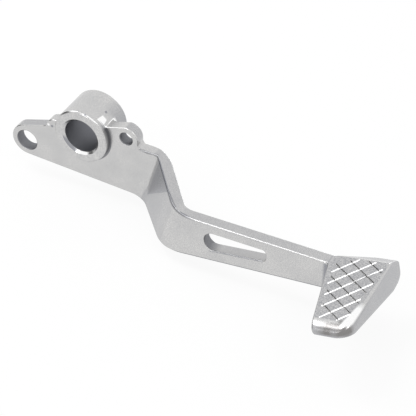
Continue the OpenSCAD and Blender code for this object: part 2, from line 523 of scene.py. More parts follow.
    def shell(self) -> Shell:
        """The strip: a rounded edge carried round the side outline, closed by two caps that follow the bends.

        The edge is inset by edge * (1 - sin t) and sunk by edge * (1 - cos t) on the outboard side, with t up to a
        right angle, and the other way about on the inboard side.

        Returns:
            The closed strip.
        """
        path = self.side_outline()
        turn = np.radians(np.linspace(0, 90, 7))
        inset = np.concatenate([self.edge * (1 - np.sin(turn)), self.edge * (1 - np.cos(turn))])
        depth = np.concatenate([self.edge * (1 - np.cos(turn)), self.edge * (1 - np.sin(turn))])
        outer = np.repeat([True, False], len(turn))
        normal = outward(path)
        rings = path[None, :, :] - inset[:, None, None] * normal[None, :, :]
        near = self.face(rings[..., 0], rings[..., 1], False) + depth[:, None]
        far = self.face(rings[..., 0], rings[..., 1], True) - depth[:, None]
        y = np.where(outer[:, None], near, far)
        points = np.stack([rings[..., 0], y, rings[..., 1]], axis=2)
        rows, columns = points.shape[:2]
        faces = [grid_faces(rows, columns, False, True)]
        rim = rings[0]
        spots = self.cap_stations(rim)
        flat = np.vstack([rim, spots])
        triangles = np.array(delaunay_2d_cdt(flat.tolist(), [], [list(range(len(rim)))], 1, 1e-5)[2])
        base = rows * columns
        extra = base + np.arange(len(spots))
        near_index = np.concatenate([np.arange(columns), extra])
        far_index = np.concatenate([(rows - 1) * columns + np.arange(columns), extra + len(spots)])
        near_spots = np.stack([spots[:, 0], self.face(spots[:, 0], spots[:, 1], False), spots[:, 1]], axis=1)
        far_spots = np.stack([spots[:, 0], self.face(spots[:, 0], spots[:, 1], True), spots[:, 1]], axis=1)
        faces += [near_index[triangles][:, ::-1], far_index[triangles]]
        return Shell(np.vstack([points.reshape(-1, 3), near_spots, far_spots]), faces)

    def cap_stations(self, rim: Array) -> Array:
        """Inner points of the caps: wide apart on the flats, close in the bends, on lines that lean with them.

        Args:
            rim: The cap's outline.

        Returns:
            The points in x and z, kept off the rim.
        """
        wide, close, row = 4.0, 0.5, 2.0
        bends_from, bends_to = 26.0, self.bend_end + 14.0
        u = np.concatenate(
            [np.arange(-40, bends_from, wide), np.arange(bends_from, bends_to, close), np.arange(bends_to, 140, wide)]
        )
        u, z = (a.ravel() for a in np.meshgrid(u, np.arange(-34, 14, row)))
        lean = math.radians(self.lean)
        spots = np.stack([(u + z * math.sin(lean)) / math.cos(lean), z], axis=1)
        return spots[inside(spots, rim) & (nearest(spots, rim) > 0.5)]


def inside(spots: Array, path: Array) -> Array:
    """Tells which spots lie in a closed path: an odd count of its sides crosses a spot's level to its right.

    Args:
        spots: The spots.
        path: The path's points.

    Returns:
        Whether each spot lies inside.
    """
    a, b = path[None, :, :], np.roll(path, -1, axis=0)[None, :, :]
    x, y = spots[:, None, 0], spots[:, None, 1]
    spans = (a[..., 1] > y) != (b[..., 1] > y)
    with np.errstate(divide="ignore", invalid="ignore"):
        cross = a[..., 0] + (y - a[..., 1]) / (b[..., 1] - a[..., 1]) * (b[..., 0] - a[..., 0])
    return (spans & (cross > x)).sum(axis=1) % 2 == 1


def nearest(spots: Array, path: Array) -> Array:
    """Distance from each spot to the nearest point of the path."""
    return np.sqrt(((spots[:, None, :] - path[None, :, :]) ** 2).sum(axis=2)).min(axis=1)


@dataclass
class PivotBoss:
    """Turned boss: thrust ring outboard, tube inboard and the cove at its foot."""

    radius: float = 13.2
    ring_height: float = 3.2
    tube_length: float = 16.2
    chamfer: float = 0.6
    cove: float = 2.4
    soft: float = 0.18
    plate: float = 5.6
    core: float = 2.0

    def shell(self) -> Shell:
        """Turns the boss from one profile of radius and y.

        Returns:
            The closed boss.
        """
        c, s = self.chamfer, self.soft
        profile = rounded(
            [
                (self.core, -self.ring_height, 0),
                (self.radius - c, -self.ring_height, s),
                (self.radius, c - self.ring_height, s),
                (self.radius, self.tube_length - c, s),
                (self.radius - c, self.tube_length, s),
                (self.core, self.tube_length, 0),
            ],
            closed=False,
        )
        return turned(profile, 0, 0)

    def cove_shell(self) -> Shell:
        """Turns the ring of metal that rounds the tube into the plate: a quarter hollow carried round the axis.

        Returns:
            The closed ring, with its foot sunk into the plate.
        """
        top, foot, wide = self.plate + self.cove, self.plate - 1.0, self.radius + self.cove
        hollow = arc((wide, top), self.cove, 270, 180, 6.0)
        return turned(np.vstack([[(self.core, foot), (wide, foot)], hollow, [(self.core, top)]]), 0, 0)


@dataclass
class Tread:
    """Wedge-shaped tread: upright rounded sections carried across the pedal, from the nose inboard."""

    reach: float = 129.2
    top: float = -4.4
    tilt: float = 11.3
    width: float = 24.7
    arm_y: float = -27.0
    plate: float = 5.6
    length: float = 38.0
    sweep: float = 8.9
    back: float = 10.9
    root: float = 0.6
    heel_behind: float = 4.0
    nose_thickness: float = 4.4
    arm_thickness: float = 14.6
    heel_thickness: float = 14.0
    heel_tuck: float = 3.4
    skew: float = 0.4
    nose_depth: float = 6.5
    nose_drop: float = 3.5
    nose_under: float = 0.9
    nose_front: float = 6.6
    nose_rear: float = 1.8
    heel_drop: float = 5.8
    heel_crease: float = 2.0
    heel_radius: float = 6.0
    heel_under: float = 5.2
    heel_corner: float = 2.0
    belly_radius: float = 6.0
    root_fillet: float = 1.8
    front_edge: tuple[float, float, float] = (2.8, 1.3, 0.6)
    other_edges: tuple[float, float, float] = (0.7, 1.8, 1.3)

    @property
    def nose_y(self) -> float:
        """Y of the nose at its front corner."""
        return self.arm_y - self.length

    @property
    def back_y(self) -> float:
        """Y of the inboard end."""
        return self.arm_y + self.plate + self.back

    def plan(self) -> Array:
        """Draws the outline seen from above, in p, forward from the heel line, and y.

        Returns:
            The outline's points.
        """
        return rounded(
            [
                (-self.root - 2 * self.root_fillet, self.arm_y + self.plate / 2, 0),
                (-self.root - 2 * self.root_fillet, self.arm_y, 0),
                (0, self.arm_y, self.root_fillet),
                (self.sweep, self.nose_y - self.skew, self.nose_rear),
                (self.width, self.nose_y, self.nose_front),
                (self.width, self.back_y, self.heel_corner),
                (-self.heel_behind, self.arm_y + self.plate / 2, 0),
            ]
        )

    def profile(self) -> Array:
        """Draws the outline seen from the front, in y and the height over the top plane.

        The top of the nose is a quarter ellipse: depth * (1 - sin t) inwards and drop * (1 - cos t) down.

        Returns:
            The outline's points.
        """
        tip = self.nose_y - self.skew
        turn = np.linspace(0, math.pi / 2, 14)
        nose = [(tip + self.nose_depth * (1 - math.sin(a)), -self.nose_drop * (1 - math.cos(a)), 0.0) for a in turn]
        return rounded(
            [
                (self.arm_y + self.plate, 0, self.heel_crease),
                *nose,
                (tip, -self.nose_thickness, self.nose_under),
                (self.arm_y + self.plate, -self.arm_thickness, self.belly_radius),
                (self.back_y - self.heel_tuck, -self.heel_thickness, self.heel_under),
                (self.back_y, -self.heel_drop, self.heel_radius),
            ]
        )

    def place(self, p: Array, y: Array, height: Array) -> Array:
        """Turns points of the tread's tilted frame about its heel line into the pedal's frame.

        Args:
            p: Places forward from the heel line.
            y: Places along the pivot's direction.
            height: Heights over the top plane.

        Returns:
            The points, with x, y and z last.
        """
        cos, sin = math.cos(math.radians(self.tilt)), math.sin(math.radians(self.tilt))
        return np.stack([self.reach + p * cos - height * sin, y, self.top + p * sin + height * cos], axis=-1)

    def stations(self, tip: float, back: float) -> Array:
        """Values of y at which the tread has a section: close together at both ends and at the arm's foot.

        Args:
            tip: Y of the nose.
            back: Y of the inboard end.

        Returns:
            The values, rising, without the two ends.
        """
        t = np.linspace(0, math.pi / 2, 26)
        near = tip + 4.0 * (1 - np.cos(t))
        far = back - 5.0 * (1 - np.cos(t[::-1]))
        foot = np.linspace(self.arm_y - self.root_fillet, self.arm_y + 0.05, 14)
        before, after = np.arange(near[-1] + 1.0, foot[0], 1.0), np.arange(foot[-1] + 0.5, far[0] - 0.3, 0.5)
        return np.concatenate([near[1:], before, foot, after, far[:-1]])

    def shell(self) -> Shell:
        """The tread: at each y a rounded rectangle, as wide as the plan and as high as the profile there.

        Returns:
            The closed tread.
        """
        plan, profile = self.plan(), self.profile()
        tip = max(plan[:, 1].min(), profile[:, 0].min())
        y = self.stations(tip, min(plan[:, 1].max(), profile[:, 0].max()))
        rear, front = span(plan[:, 1], plan[:, 0], y)
        low, high = span(profile[:, 0], profile[:, 1], y)
        wide, tall = (front - rear) / 2, (high - low) / 2
        limit = np.minimum(wide, tall) * 0.98
        corner = np.radians(np.linspace(0, 90, 6))
        side = np.linspace(0, 1, 9)[1:-1]
        front_edge = np.interp(y, [self.nose_y, self.arm_y - 12, self.arm_y], self.front_edge)
        arcs = []
        for k, (sign_p, sign_h) in enumerate(((1, 1), (-1, 1), (-1, -1), (1, -1))):
            radius = np.minimum((front_edge, *self.other_edges)[k], limit)[:, None]
            angle = corner + k * math.pi / 2
            p = sign_p * (wide[:, None] - radius) + radius * np.cos(angle)
            h = sign_h * (tall[:, None] - radius) + radius * np.sin(angle)
            arcs.append(np.stack([p, h]))
        loops = []
        for this, following in zip(arcs, arcs[1:] + arcs[:1]):
            loops += [this, this[..., -1:] * (1 - side) + following[..., :1] * side]
        p, h = np.concatenate(loops, axis=2) + np.stack([front + rear, high + low])[..., None] / 2
        points = self.place(p, np.repeat(y[:, None], p.shape[1], axis=1), h)
        return capped(points, np.stack([points[0].mean(axis=0), points[-1].mean(axis=0)]))


def span(along: Array, across: Array, stations: Array) -> tuple[Array, Array]:
    """Lowest and highest value of a closed outline across each station along it.

    Args:
        along: The outline's coordinate on which the stations lie.
        across: Its other coordinate.
        stations: Where the outline is read.

    Returns:
        The lowest and the highest value at each station.
    """
    a, b = along[None, :], np.roll(along, -1)[None, :]
    va, vb = across[None, :], np.roll(across, -1)[None, :]
    s = stations[:, None]
    hit = (np.minimum(a, b) <= s) & (np.maximum(a, b) >= s) & (np.abs(b - a) > 1e-9)
    with np.errstate(divide="ignore", invalid="ignore"):
        value = va + (s - a) / (b - a) * (vb - va)
    return np.where(hit, value, np.inf).min(axis=1), np.where(hit, value, -np.inf).max(axis=1)


@dataclass
class Openings:
    """Bore, eye, spring hole and slot: tools with flared mouths that cut them."""

    bore: float = 8.25
    eye: float = 5.0
    spring: float = 3.0
    slot_ahead: float = 73.1
    slot_length: float = 28.7
    slot_cover: float = 4.7
    slot_rear_height: float = 9.7
    slot_front_height: float = 5.6
    slot_rear_radius: float = 4.4
    slot_front_radius: float = 1.9
    bore_mouth: float = 1.0
    eye_mouth: float = 0.4
    slot_mouth: float = 0.5

    def hole(self, place: tuple[float, float], radius: float, near: float, far: float, mouth: float) -> Shell:
        """A drill along Y whose ends flare by the mouth's chamfer.

        Args:
            place: X and z of its axis.
            radius: The hole's radius.
            near: Y of the outboard face.
            far: Y of the inboard face.
            mouth: Size of the chamfer at both faces.

        Returns:
            The closed drill.
        """
        over = 1.0
        profile = np.array(
            [
                (radius + mouth + over, near - over),
                (radius + mouth, near),
                (radius, near + mouth),
                (radius, far - mouth),
                (radius + mouth, far),
                (radius + mouth + over, far + over),
            ]
        )
        return turned(profile, place[0], place[1], 96)

    def slot(self, near: float, far: float, top: float, mouth: float) -> Shell:
        """The slot's tool: a flared edge carried round the slot's outline, closed by two flat caps.

        The outline grows by mouth * (1 - sin t) at a depth of mouth * (1 - cos t), with t up to a right angle.

        Args:
            near: Y of the outboard face.
            far: Y of the inboard face.
            top: Height of the arm's upper edge.
            mouth: Radius of the rounding at both faces.

        Returns:
            The closed tool.
        """
        high = top - self.slot_cover
        end = self.slot_ahead + self.slot_length
        path = evenly(
            rounded(
                [
                    (self.slot_ahead, high - self.slot_rear_height, self.slot_rear_radius),
                    (end, high - self.slot_front_height, self.slot_front_radius),
                    (end, high, self.slot_front_radius),
                    (self.slot_ahead, high, self.slot_rear_radius),
                ]
            ),
            0.3,
        )
        turn = np.radians(np.linspace(0, 90, 6))
        grow = np.concatenate([[mouth], mouth * (1 - np.sin(turn)), mouth * (1 - np.cos(turn)), [mouth]])
        y = np.concatenate([[near - 1], near + mouth * (1 - np.cos(turn)), far - mouth * (1 - np.sin(turn)), [far + 1]])
        rings = path[None] + grow[:, None, None] * outward(path)[None]
        points = np.stack([rings[..., 0], np.repeat(y[:, None], len(path), axis=1), rings[..., 1]], axis=2)
        rows, columns = points.shape[:2]
        caps = [np.arange(columns)[None, ::-1], ((rows - 1) * columns + np.arange(columns))[None, :]]
        return Shell(points.reshape(-1, 3), [grid_faces(rows, columns, False, True), *caps])


@dataclass
class GripGrooves:
    """Two crossing sets of V grooves on top of the tread."""

    tread: Tread
    pitch: float = 5.6
    width: float = 0.76
    depth: float = 0.38
    angle: float = 91.0
    middle: tuple[float, float] = (16.0, -43.7)
    border: float = 1.2
    nose_margin: float = 5.3
    most_bars: int = 9

    def field_outline(self) -> Array:
        """Draws the grooved field inside the tread's rim.

        Returns:
            Its corners in p and y.
        """
        t, b = self.tread, self.border
        top = t.arm_y + t.plate - b / 2
        foot = t.nose_y + self.nose_margin
        return np.array(
            [
                (2.5 * b, t.arm_y + b),
                (3.6 * b, t.arm_y - 7.5 * b),
                (t.sweep + b, foot),
                (t.width - 5.8 * b, foot),
                (t.width - 2.7 * b, foot + 3.0 * b),
                (t.width - 2.4 * b, t.arm_y - 15.0 * b),
                (t.width - b, t.arm_y),
                (t.width - t.heel_corner, top),
                (9.0 * b, top),
            ]
        )

    def shell(self, side: int) -> Shell:
        """One set of parallel grooves: V bars whose ends lie where their middle lines leave the field.

        Args:
            side: -1 or 1, the side to which the set leans.

        Returns:
            The cutting bars.
        """
        corners = self.field_outline()
        a, b = corners, np.roll(corners, -1, axis=0)
        lean = math.degrees(math.atan2(self.tread.sweep / 2, self.tread.length))
        angle = math.radians(lean + 90 + side * self.angle / 2)
        along = np.array([math.cos(angle), math.sin(angle)])
        across = np.array([-along[1], along[0]])
        middle = np.array(self.middle)
        points, faces = [], []
        for k in range(-self.most_bars, self.most_bars + 1):
            start = middle + k * self.pitch * across
            # Crossings of the line start + s * along with each side of the field
            da, db = (a - start) @ across, (b - start) @ across
            hit = (da > 0) != (db > 0)
            if hit.sum() < 2:
                continue
            share = da[hit] / (da[hit] - db[hit])
            s = ((a[hit] + share[:, None] * (b - a)[hit]) - start) @ along
            low, high = s.min(), s.max()
            if high - low < 2 * self.width:
                continue
            points.append(self.bar(start, along, across, low, high))
            faces.append(self.bar_faces(8 * (len(points) - 1)))
        return Shell(np.concatenate(points), [np.concatenate(f) for f in zip(*faces)])

    def bar(self, start: Array, along: Array, across: Array, low: float, high: float) -> Array:
        """Points of one V bar: its foot at the depth, its shoulders above the top, its ends run out.

        Args:
            start: A point of the bar's middle line, in p and y.
            along: The line's direction.
            across: The direction at right angles to it.
            low: Where the bar starts on the line.
            high: Where it ends.

        Returns:
            The points.
        """
        over, half = 0.3, self.width / 2
        wide, foot = half * (1 + over / self.depth), half * 0.2
        before, after = low - over, high + over
        s = np.array([low + foot, high - foot, before, before, after, after, before, after])
        c = np.array([0, 0, -wide, wide, wide, -wide, 0, 0])
        h = np.array([-self.depth, -self.depth, over, over, over, over, over, over])
        flat = start[None, :] + s[:, None] * along + c[:, None] * across
        return self.tread.place(flat[:, 0], flat[:, 1], h)

    def bar_faces(self, first: int) -> list[Array]:
        """Faces of one V bar: two flanks, a flat lid and two sloping ends.

        Args:
            first: Number of the bar's first point.

        Returns:
            The four-sided faces and the triangles.
        """
        quads = np.array([(0, 1, 4, 3), (1, 0, 2, 5), (2, 3, 4, 5)]) + first
        ends = np.array([(0, 3, 2), (1, 5, 4)]) + first
        return [quads, ends]


# Finishes


class Value:
    """A node's number output with Python's arithmetic: each operator adds one Math node."""

    def __init__(self, tree: bpy.types.NodeTree, socket: bpy.types.NodeSocket) -> None:
        """Wraps a socket of the tree."""
        self.tree = tree
        self.socket = socket

    def math(self, operation: str, *others: Any, clamp: bool = False, swap: bool = False) -> "Value":
        """Adds a Math node.

        Args:
            operation: The node's operation.
            others: The other terms, values or plain numbers.
            clamp: Whether the result is kept between 0 and 1.
            swap: Whether this value comes last instead of first.

        Returns:
            The node's result.
        """
        node = self.tree.nodes.new("ShaderNodeMath")
        node.operation = operation
        node.use_clamp = clamp
        terms = [*others, self] if swap else [self, *others]
        for slot, term in zip(node.inputs, terms):
            if isinstance(term, Value):
                self.tree.links.new(term.socket, slot)
            else:
                slot.default_value = term
        return Value(self.tree, node.outputs[0])

    def __add__(self, other: Any) -> "Value":
        """Sum."""
        return self.math("ADD", other)

    __radd__ = __add__

    def __sub__(self, other: Any) -> "Value":
        """Difference."""
        return self.math("SUBTRACT", other)

    def __rsub__(self, other: Any) -> "Value":
        """Difference the other way round."""
        return self.math("SUBTRACT", other, swap=True)

    def __mul__(self, other: Any) -> "Value":
        """Product."""
        return self.math("MULTIPLY", other)

    __rmul__ = __mul__

    def most(self, other: Any) -> "Value":
        """The greater of the two."""
        return self.math("MAXIMUM", other)

    def least(self, other: Any) -> "Value":
        """The smaller of the two."""
        return self.math("MINIMUM", other)

    def root(self) -> "Value":
        """Square root."""
        return self.math("POWER", 0.5)

    def clamped(self) -> "Value":
        """The value kept between 0 and 1."""
        return self.math("ADD", 0.0, clamp=True)

    def above(self, edge: Any, soft: float) -> "Value":
        """0 below the edge, rising to 1 within the soft width past it."""
        return ((self - edge) * (1 / soft)).clamped()

    def below(self, edge: Any, soft: float) -> "Value":
        """0 past the edge, rising to 1 within the soft width before it."""
        return ((edge - self) * (1 / soft)).clamped()

    def between(self, low: Any, high: Any, rise: float, fall: float) -> "Value":
        """0 outside low and high, 1 inside them, with the soft width rise above low and fall below high."""
        return self.above(low, rise) * self.below(high, fall)


class Nodes:
    """Node tree that one method fills."""

    def __init__(self, tree: bpy.types.NodeTree) -> None:
        """Empties the tree."""
        self.tree = tree
        tree.nodes.clear()

    def node(
        self, kind: str, settings: dict[str, Any] | None = None, slots: dict[int, Any] | None = None, **values: Any
    ) -> bpy.types.Node:
        """Adds a node, sets it up, then fills its inputs with numbers or links.

        Args:
            kind: The node's type, without the word ShaderNode.
            settings: Its properties.
            slots: Its inputs by number, where a name stands for more than one.
            values: Its inputs by name, with underscores for spaces.

        Returns:
            The node.
        """
        node = self.tree.nodes.new("ShaderNode" + kind)
        for key, value in (settings or {}).items():
            setattr(node, key, value)
        inputs: dict[int | str, Any] = dict(slots or {})
        inputs.update({key.replace("_", " "): value for key, value in values.items()})
        for key, value in inputs.items():
            source = value.socket if isinstance(value, Value) else value
            if isinstance(source, bpy.types.NodeSocket):
                self.tree.links.new(source, node.inputs[key])
            else:
                node.inputs[key].default_value = source
        return node

    def value(self, node: bpy.types.Node, output: str | int) -> Value:
        """The node's output, ready for arithmetic."""
        return Value(self.tree, node.outputs[output])

    def noise(self, place: bpy.types.NodeSocket, scale: float, detail: float = 2.0) -> Value:
        """Noise over the coordinates, about 0.5.

        Args:
            place: The coordinates, in metres.
            scale: Lumps per metre.
            detail: How many finer layers lie on top.

        Returns:
            The noise.
        """
        return self.value(self.node("TexNoise", Vector=place, Scale=scale, Detail=detail, Roughness=0.5), "Fac")

    def mix(self, factor: Any, first: Any, second: Any) -> bpy.types.NodeSocket:
        """Colour between two others.

        Args:
            factor: 0 for the first, 1 for the second.
            first: A colour or its socket.
            second: A colour or its socket.

        Returns:
            The mixed colour's socket.
        """
        return self.node("Mix", {"data_type": "RGBA"}, {0: factor, 6: first, 7: second}).outputs[2]

    def ray_kinds(self) -> tuple[Value, Value]:
        """Tells the rays apart.

        Returns:
            1 for a ray straight from the camera, and 1 for that or a mirrored or see-through ray.
        """
        path = self.node("LightPath")
        camera = self.value(path, "Is Camera Ray")
        seen = camera + self.value(path, "Is Glossy Ray") + self.value(path, "Is Transmission Ray")
        return camera, seen.clamped()


class Finish(Nodes):
    """Material made of nodes."""

    def __init__(self, name: str) -> None:
        """Starts the material with an empty tree.

        Args:
            name: The material's name.
        """
        self.material = bpy.data.materials.new(name)
        self.material.use_nodes = True
        super().__init__(self.material.node_tree)


class Spot:
    """A shaded point of the pedal, in millimetres, also in the coordinates that its forms are drawn in.

    Attributes:
        x, y, z: The object's own coordinates.
        u: Distance across the bend lines.
        reach: Distance from the pivot axis.
        slant: Y of the slanted run's outboard face on this point's bend line.
        skin: Depth under the outboard face of the plate, the slanted run or the arm.
        hollow: Extra depth of the rounded second bend in front of that face.
        along, height: Forward from the tread's heel line and above its top, in its tilted frame.
    """

    def __init__(self, nodes: Nodes) -> None:
        """Reads the object's coordinates and works out the others.

        Args:
            nodes: The material's nodes.
        """
        strip, tread = HeelAndArm(), Tread()
        self.place = nodes.node("TexCoord").outputs["Object"]
        split = nodes.node("SeparateXYZ", Vector=self.place)
        self.x, self.y, self.z = (nodes.value(split, axis) * (1 / MM) for axis in range(3))
        self.reach = (self.x * self.x + self.z * self.z).root()
        lean, tilt = math.radians(strip.lean), math.radians(tread.tilt)
        self.u = self.x * math.cos(lean) - self.z * math.sin(lean)
        self.slant = (self.u - strip.bend_start) * (strip.arm_y / strip.bend_run)
        self.skin = self.y - self.slant.most(strip.arm_y).least(0.0)
        to_bend = (self.u - strip.bend_start - strip.bend_run).math("ABSOLUTE")
        self.hollow = (1.0 - to_bend * 0.11).clamped() * 1.9
        ahead, over = self.x - tread.reach, self.z - tread.top
        self.along = ahead * math.cos(tilt) + over * math.sin(tilt)
        self.height = over * math.cos(tilt) - ahead * math.sin(tilt)

    def toward(self, angle: float) -> Value:
        """Distance from the pivot axis in one direction, given in degrees from X towards Z."""
        return self.x * math.cos(math.radians(angle)) + self.z * math.sin(math.radians(angle))

    def over(self, edge: Edge) -> Value:
        """Height over the line of a straight edge: z - z0 - slope * (x - x0).

        Args:
            edge: The edge.

        Returns:
            The height, negative below the line.
        """
        rear, front = HeelAndArm().ends(edge)
        slope = float((front[1] - rear[1]) / (front[0] - rear[0]))
        return self.z - float(front[1]) - (self.x - float(front[0])) * slope

    def in_hole(self, centre: tuple[float, float], radius: float, ends: tuple[float, float]) -> Value:
        """Marks the wall of a hole along Y.

        Args:
            centre: X and z of the hole.
            radius: A little more than the hole's radius.
            ends: Y just inside both mouths.

        Returns:
            1 on the wall, 0 on the faces that the hole opens in.
        """
        dx, dz = self.x - centre[0], self.z - centre[1]
        return (dx * dx + dz * dz).root().below(radius, 0.2) * self.y.between(*ends, 0.3, 0.3)


def ball(axes: Sequence[Value], centre: Sequence[float], radius: float) -> Value:
    """1 within 0.4 of a ball's radius, fading to 0 at the radius.

    Args:
        axes: The point's three coordinates.
        centre: The ball's centre in the same coordinates.
        radius: Its radius.

    Returns:
        The mark.
    """
    dx, dy, dz = (axis - place for axis, place in zip(axes, centre))
    return (dx * dx + dy * dy + dz * dz).root().below(radius, 0.6 * radius)


@dataclass(frozen=True)
class BossMarks:
    """Marks of the pivot boss: deep painted shade in the bore and at the ring's foot, painted shade on the flank,
    painted highlights on the rims.
    """

    ring_deep_shade: float = 0.75
    flank_shade: float = 0.7
    mouth_shade: float = 0.9
    # Dark spots: a pit in the tube, then two painted shade spots, on the plate by the shoulder and on the ring's upper
    # rim
    pit_and_shade_spots: tuple[tuple[tuple[float, float, float], float], ...] = (
        ((8.36, 6.33, 10.21), 0.9),
        ((-16.44, 0.0, -1.34), 0.9),
        ((3.1, -2.9, 12.9), 0.8),
    )
    # Small painted highlights, at the ring's foot and by the shoulder
    glint_spots: tuple[tuple[tuple[float, float, float], float], ...] = (
        ((11.06, 0.0, 7.16), 1.1),
        ((-18.35, 0.0, -1.02), 0.9),
    )

    def scale(self, at: Spot) -> Value:
        """Deep painted shade on the bore's wall, and on a crescent of the plate at the foot of the thrust ring's front
        side.

        Args:
            at: The shaded point.

        Returns:
            The mark, from 0 to 1.
        """
        boss = PivotBoss()
        bore = at.in_hole((0, 0), Openings().bore + 0.4, (0.9 - boss.ring_height, boss.tube_length - 0.2))
        ring = at.reach.between(boss.radius - 0.25, boss.radius + 1.0, 0.1, 0.1)
        ring = ring * at.y.between(0.4 - boss.ring_height, 0.3, 2.0, 0.1)
        # Deep painted shade: the bore's wall and the ring's foot darkened where shade falls
        return bore.most(ring * at.toward(-26.6).above(3.0, 4.0) * self.ring_deep_shade)

    def mouth(self, at: Spot) -> Value:
        """The chamfer of the bore's outboard mouth, which is where radius + y stays under the bore's.

        Args:
            at: The shaded point.

        Returns:
            The mark, from 0 to 1.
        """
        front = 1.2 - PivotBoss().ring_height
        return (at.reach + at.y).below(Openings().bore - 2.05, 0.1) * at.y.below(front, 0.2)

    def painted_shade_and_marks(self, at: Spot) -> Value:
        """Painted shade on the tube's front flank and on the lower rear part of the bore's mouth, a pit in the tube,
        and two painted shade spots.

        Args:
            at: The shaded point.

        Returns:
            The mark, from 0 to 1.
        """
        boss = PivotBoss()
        flank = at.reach.above(boss.radius - 0.3, 0.2) * at.y.above(boss.plate + 0.5, 3.0) * at.x.above(6.0, 8.0)
        # Painted shade on the flank and the mouth; the spots add the tube's pit and two painted shade spots
        mark = (flank * self.flank_shade).most(self.mouth(at) * at.toward(225.0).above(7.2, 1.0) * self.mouth_shade)
        for centre, size in self.pit_and_shade_spots:
            mark = mark.most(ball((at.x, at.y, at.z), centre, size))
        return mark

    def bright(self, at: Spot) -> Value:
        """Painted highlights: two stretches of the ring's rim, two of the tube's foot, the bore's lowest edge and two
        small spots.

        Args:
            at: The shaded point.

        Returns:
            The mark, from 0 to 1.
        """
        edge, face = PivotBoss().radius, -PivotBoss().ring_height
        # Painted highlights on the ring's rim and the tube's foot
        right = at.toward(61.0).above(edge - 0.45, 0.15) * at.y.below(face + 0.85, 0.2)
        left = at.toward(105.0).above(edge - 0.40, 0.15) * at.y.below(face + 1.1, 0.3)
        patch = (at.toward(45.0) - at.y * 0.02).above(edge - 0.17, 0.06) * at.y.between(-0.8, 4.0, 0.3, 1.0)
        foot = at.toward(25.2).above(edge - 0.10, 0.06) * at.y.between(2.6, 9.0, 0.6, 1.0)
        rims = right.most(left).most(patch).most(foot) * at.reach.below(edge + 0.4, 0.07)
        mark = rims.most(self.mouth(at) * at.toward(-82.0).above(8.1, 0.3))
        for centre, size in self.glint_spots:
            mark = mark.most(ball((at.x, at.y, at.z), centre, size))
        return mark


@dataclass(frozen=True)
class PlateMarks:
    """Marks of the heel plate: deep painted shade in its holes and along its sole, painted shade on its upper edges."""

    hole_shade: float = 0.9
    sole_shade: float = 0.35
    top_darkening: float = 0.45
    lug_shade: float = 0.42

    def scale(self, at: Spot) -> Value:
        """Deep painted shade on the walls of the eye and the spring hole, and along the outboard edge of the sole.

        Args:
            at: The shaded point.

        Returns:
            The mark, from 0 to 1.
        """
        cut, strip = Openings(), HeelAndArm()
        ends = (-0.1, strip.thickness - 0.2)
        holes = at.in_hole(strip.eye, cut.eye + 0.5, ends).most(at.in_hole(strip.lug, cut.spring + 0.5, ends))
        sole = at.over(Edge.SOLE).below(0.65, 0.25) * at.x.between(-33.0, 28.0, 3.0, 4.0) * at.y.below(1.2, 0.8)
        # Deep painted shade in the holes and along the sole's edge
        return (holes * self.hole_shade).most(sole * self.sole_shade)

    def painted_shade_and_marks(self, at: Spot) -> Value:
        """Painted shade on the upper edge behind the boss, and on the front of the spring lug's round edge.

        Args:
            at: The shaded point.

        Returns:
            The mark, from 0 to 1.
        """
        strip = HeelAndArm()
        top = at.over(Edge.BACK).above(-0.4, 0.2) * at.x.below(strip.shoulder[0], 1.0)
        dx, dz = at.x - strip.lug[0], at.z - strip.lug[1]
        near, far = strip.lug_radius - 0.3, strip.lug_radius + 0.4
        lug = (dx * dx + dz * dz).root().between(near, far, 0.2, 0.2) * (dx + dz).above(4.6, 1.0)
        # Painted shade on the upper edges
        return (top * self.top_darkening).most(lug * self.lug_shade) * at.skin.above(0.4, 0.3)


@dataclass(frozen=True)
class BendMarks:
    """Marks of the double bend: a painted reflection of the heel plate as a dark triangle, painted shade on its
    outboard face, rim and top, and deep painted shade along its upper edge.
    """

    crest_shade: float = 0.6
    facet_reflection: float = 0.82
    run_shade: float = 0.40
    brim_shade: float = 0.95
    top_darkening: float = 0.30
    arm_share: float = 0.25

    def scale(self, at: Spot) -> Value:
        """Deep painted shade that dims a lamp's highlight on the rounded upper outboard edge from the spring lug on,
        much weaker along the arm.

        Args:
            at: The shaded point.

        Returns:
            The mark, from 0 to 1.
        """
        lug_end = at.x.below(35.0, 3.0)
        rear = (at.over(Edge.BEND) + lug_end).above(-1.2, 0.3) * at.x.between(27.3, 59.0, 1.2, 1.0)
        fade = at.x.below(66.0, 3.0) * (1.0 - self.arm_share) + self.arm_share
        front = at.z.above(HeelAndArm().arm_top - 0.9, 0.3) * at.x.between(58.0, 126.0, 1.0, 1.0) * fade
        # Deep painted shade that dims a lamp's highlight on the upper edge
        return rear.most(front) * at.skin.below(at.hollow + 0.9, 0.3) * self.crest_shade

    def painted_shade_and_marks(self, at: Spot) -> Value:
        """Painted shade on the slanted run's outboard face, a painted reflection of the heel plate as a darker triangle
        under its upper edge, and painted shade on the edge itself and on the top.

        Args:
            at: The shaded point.

        Returns:
            The mark, from 0 to 1.
        """
        run = at.y.below(-0.9, 0.5) * at.u.between(35.0, 61.0, 0.5, 13.0) * (at.y - at.slant).below(0.9, 0.3)
        # Painted reflection of the heel plate: a dark triangle on the slanted face
        plate_reflection = (at.z - (at.u - 38.4) * 1.50).above(-20.15, 0.5) * at.u.above(36.6, 1.4) * run
        brim = (at.z + (at.x - 40.0) * 0.145).above(-1.5, 0.5) * at.y.below(-2.0, 1.0)
        brim = brim * at.x.between(28.0, 69.0, 3.0, 7.0) * at.skin.below(at.hollow + 0.8, 0.3)
        top = at.over(Edge.BEND).above(-0.5, 0.25) * at.x.between(30.0, 64.0, 3.0, 6.0) * at.skin.above(0.4, 0.3)
        mark = (plate_reflection * self.facet_reflection).most(run * self.run_shade)
        return mark.most(brim * self.brim_shade).most(top * self.top_darkening)


